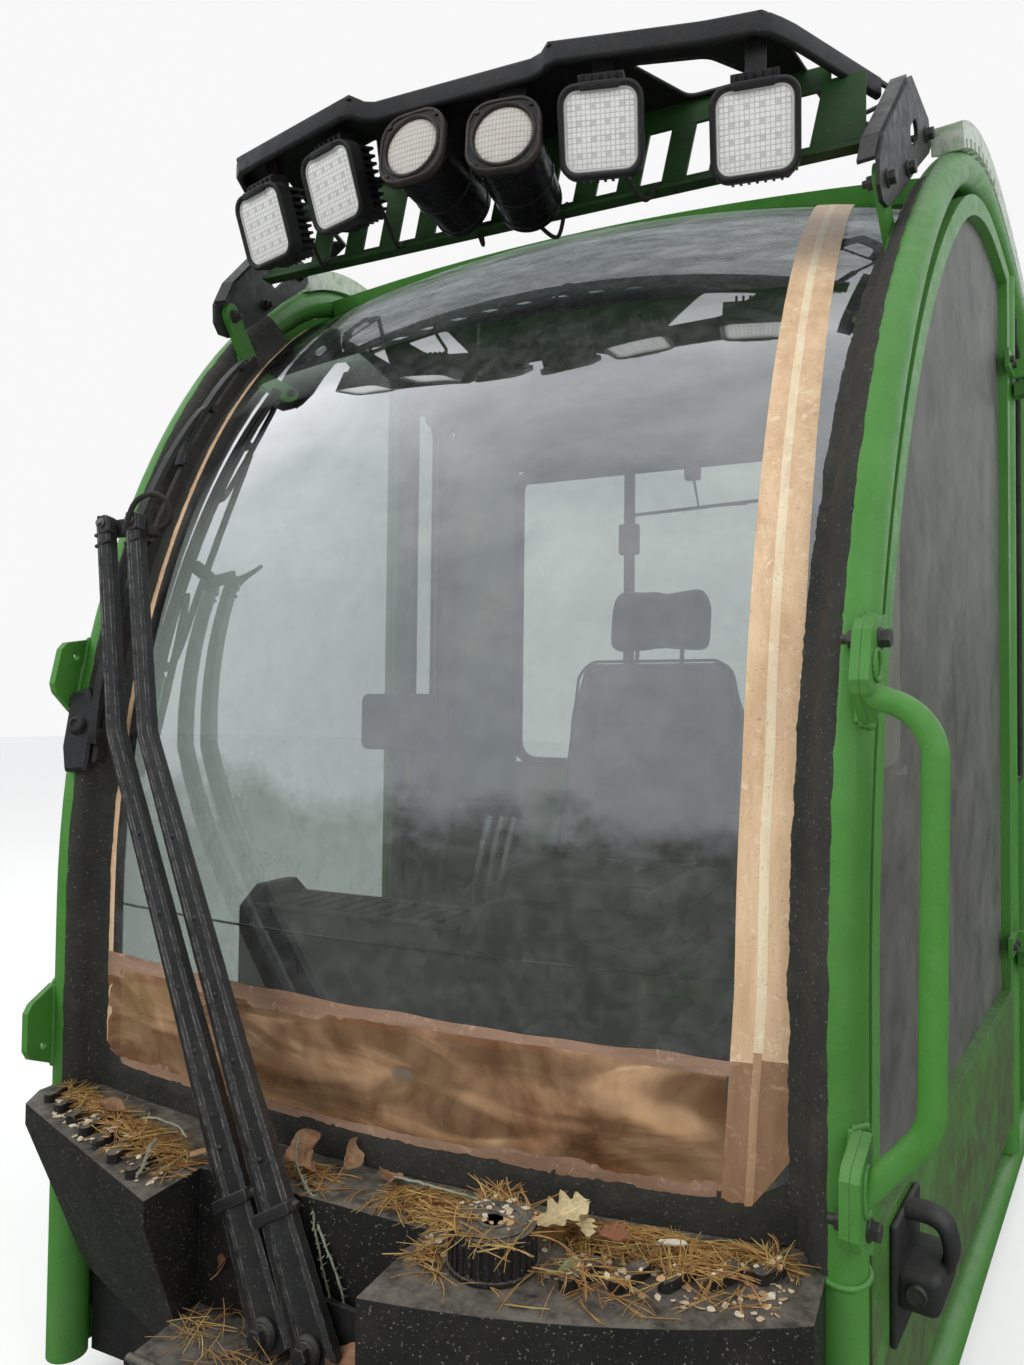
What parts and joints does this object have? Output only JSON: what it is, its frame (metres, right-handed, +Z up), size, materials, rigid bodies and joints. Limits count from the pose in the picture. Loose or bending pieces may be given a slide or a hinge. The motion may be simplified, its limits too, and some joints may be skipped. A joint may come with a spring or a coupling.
{
  "type": "forestry harvester cab",
  "caption": "Operator's cab of a forestry harvester: bent tube frame, bulged one-piece windscreen, hinged side door, lamp rack, parallel-arm wiper and washer tank.",
  "frame": {"origin": "centre of the four mounting feet, on their undersides", "axes": "X across the cab, +Y towards its rear, +Z up"},
  "size_m": [1.7052, 1.9225, 2.1375],
  "materials": {
    "green_paint": "satin, weathered",
    "pale_paint": "chalky, mossy",
    "dark_paint": "satin",
    "black_plastic": "dusty",
    "cast_black": "powder coated",
    "rubber": "dull",
    "seat_fabric": "woven",
    "screen_glass": "dusty",
    "window_glass": "dusty",
    "lens": "ribbed"
  },
  "bodies": {
    "cab": {"base_frame": "dark_paint", "floor_pan": "dark_paint", "front_pillars": "green_paint", "roof_tubes": "green_paint", "frame_posts": "green_paint", "front_apron": "dark_paint", "sill_panels": "green_paint", "quarter_panels": "green_paint", "rear_wall": "green_paint", "rear_window": "window_glass", "side_glass": "window_glass", "left_window_frame": "green_paint", "windscreen": "screen_glass", "screen_seal": "rubber", "roof_shell": "green_paint", "roof_rims": "pale_paint", "rack_lugs": "green_paint", "rack_ends": "dark_paint", "rack_top": "dark_paint", "rack_lattice": "dark_paint", "lamp_brackets": "dark_paint", "led_lamps": "cast_black", "barrel_lamps": "black_plastic", "lamp_lenses": "lens", "handle_tabs": "green_paint", "grab_handle": "green_paint", "washer_tank": "black_plastic", "wiper_base": "dark_paint", "hinge_brackets": "green_paint", "seat_base": "dark_paint", "seat_cushion": "seat_fabric", "seat_back": "seat_fabric", "headrest": "seat_fabric", "armrests": "black_plastic", "front_console": "black_plastic", "monitor": "black_plastic"},
    "door": {"door_frame": "green_paint", "door_seal": "rubber", "door_glass": "window_glass", "door_latch": "black_plastic", "door_bar": "green_paint"},
    "arm_a": {"wiper_arm_a": "black_plastic"},
    "arm_b": {"wiper_arm_b": "black_plastic"},
    "blade": {"blade_carrier": "black_plastic", "wiper_blade": "rubber"},
    "cap": {"filler_cap": "black_plastic"}
  },
  "joints": [
    {"name": "door_hinge", "type": "hinge", "parent": "cab", "child": "door", "pos_m": [0.82014, 0.43059, 1.135], "axis": [0, 0, 1], "range_deg": [0, 85]},
    {"name": "wiper_sweep", "type": "hinge", "parent": "cab", "child": "arm_a", "pos_m": [-0.045, -0.985, 0.33], "axis": [0.0517, 0.9863, -0.1564], "range_deg": [0, 52]},
    {"name": "wiper_follow", "type": "hinge", "parent": "cab", "child": "arm_b", "pos_m": [0.01991, -0.9884, 0.33], "axis": [0.0517, 0.9863, -0.1564], "range_deg": [0, 52]},
    {"name": "blade_level", "type": "hinge", "parent": "arm_a", "child": "blade", "pos_m": [-0.54432, -0.79856, 1.34055], "axis": [0.0517, 0.9863, -0.1564], "range_deg": [-52, 0]},
    {"name": "cap_turn", "type": "hinge", "parent": "cab", "child": "cap", "pos_m": [0.235, -0.971, 0.49], "axis": [0, 0, 1], "continuous": true}
  ],
  "couplings": [
    {"joint": "wiper_follow", "follows": "wiper_sweep", "ratio": 1},
    {"joint": "blade_level", "follows": "wiper_sweep", "ratio": -1}
  ]
}
